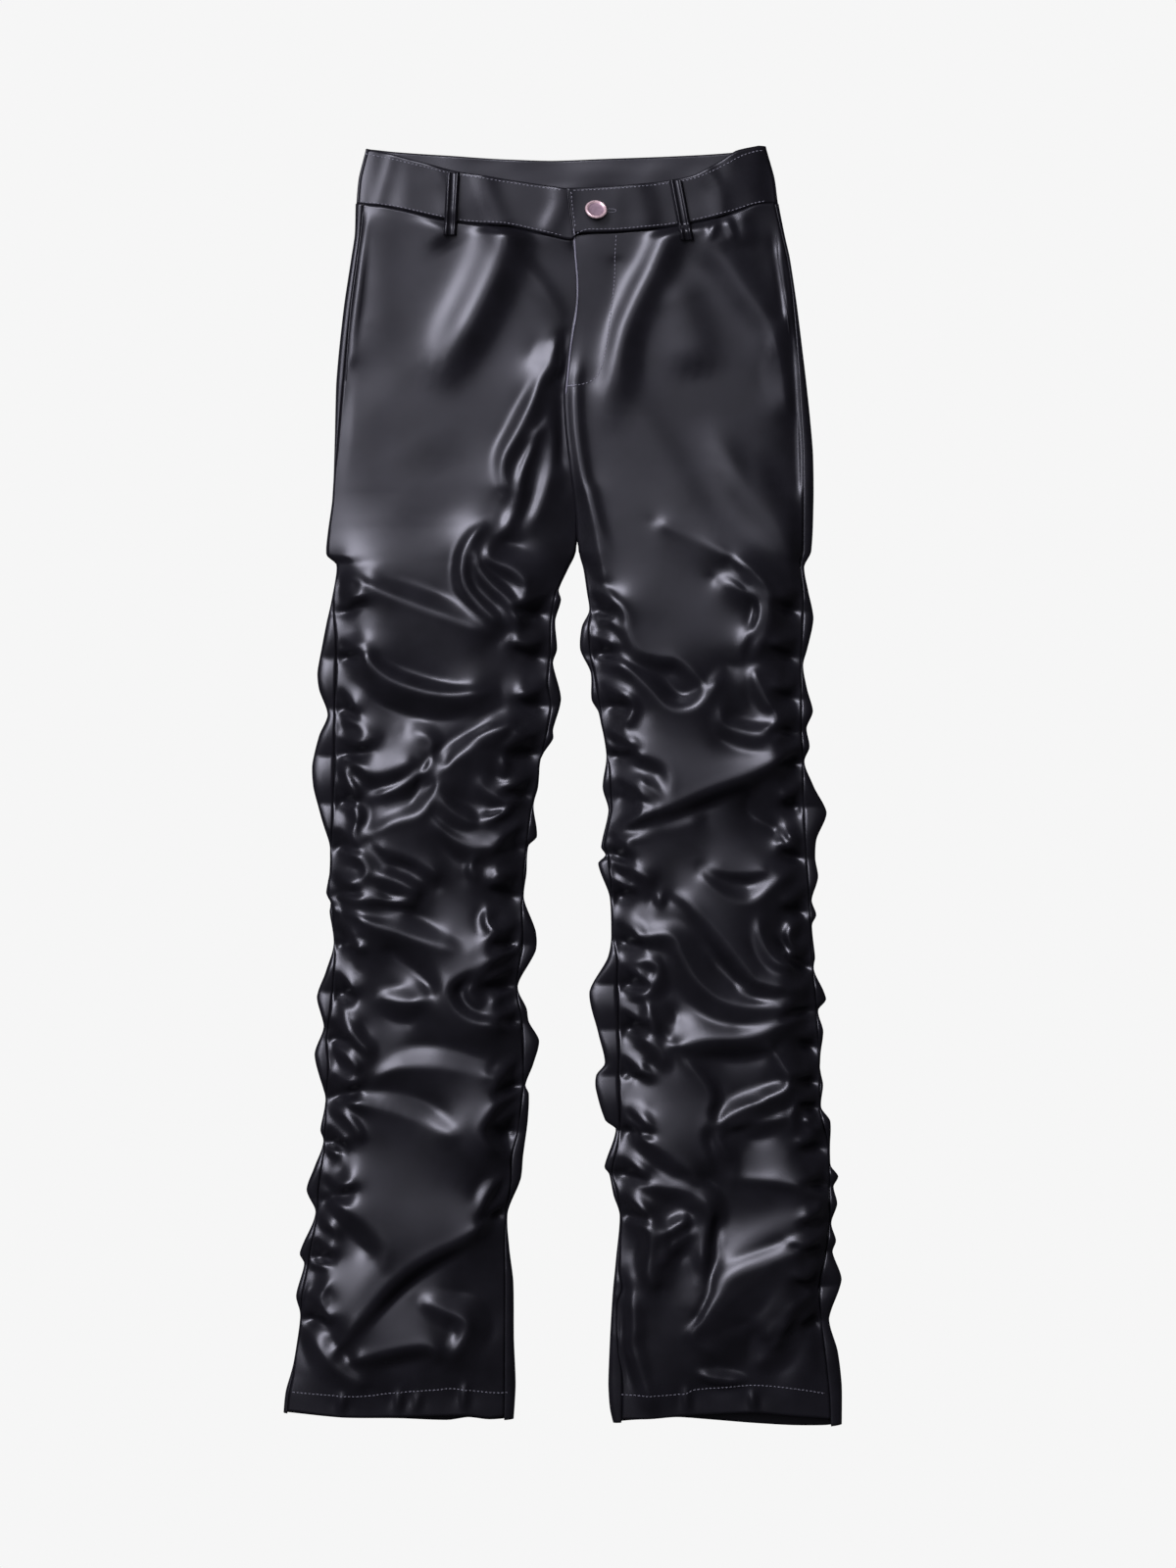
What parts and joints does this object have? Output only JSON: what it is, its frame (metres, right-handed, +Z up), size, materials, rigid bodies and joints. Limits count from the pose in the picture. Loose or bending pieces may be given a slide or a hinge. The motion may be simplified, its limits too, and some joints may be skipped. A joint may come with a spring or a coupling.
{
  "type": "leather trousers laid flat",
  "caption": "Black leather trousers with ruched legs, laid flat with the front up: a waistband with a button and belt loops, a fly, and straight legs stacked into folds from waist to hem.",
  "frame": {"origin": "on the surface it lies on, at the middle of its footprint", "axes": "+Y along the legs towards the waist, +X towards the wearer's left leg, which is on the viewer's right, +Z up out of the surface"},
  "size_m": [0.4856, 1.1094, 0.0271],
  "materials": {
    "leather": "soft gloss",
    "waistband": "soft gloss",
    "button": "copper tinted"
  },
  "bodies": {
    "root": {"front_left": "leather", "front_right": "leather", "back_left": "leather", "back_right": "leather", "waistband_left": "waistband", "waistband_right": "waistband", "waistband_back": "waistband", "belt_loop_left": "waistband", "belt_loop_right": "waistband", "button": "button"}
  },
  "joints": []
}
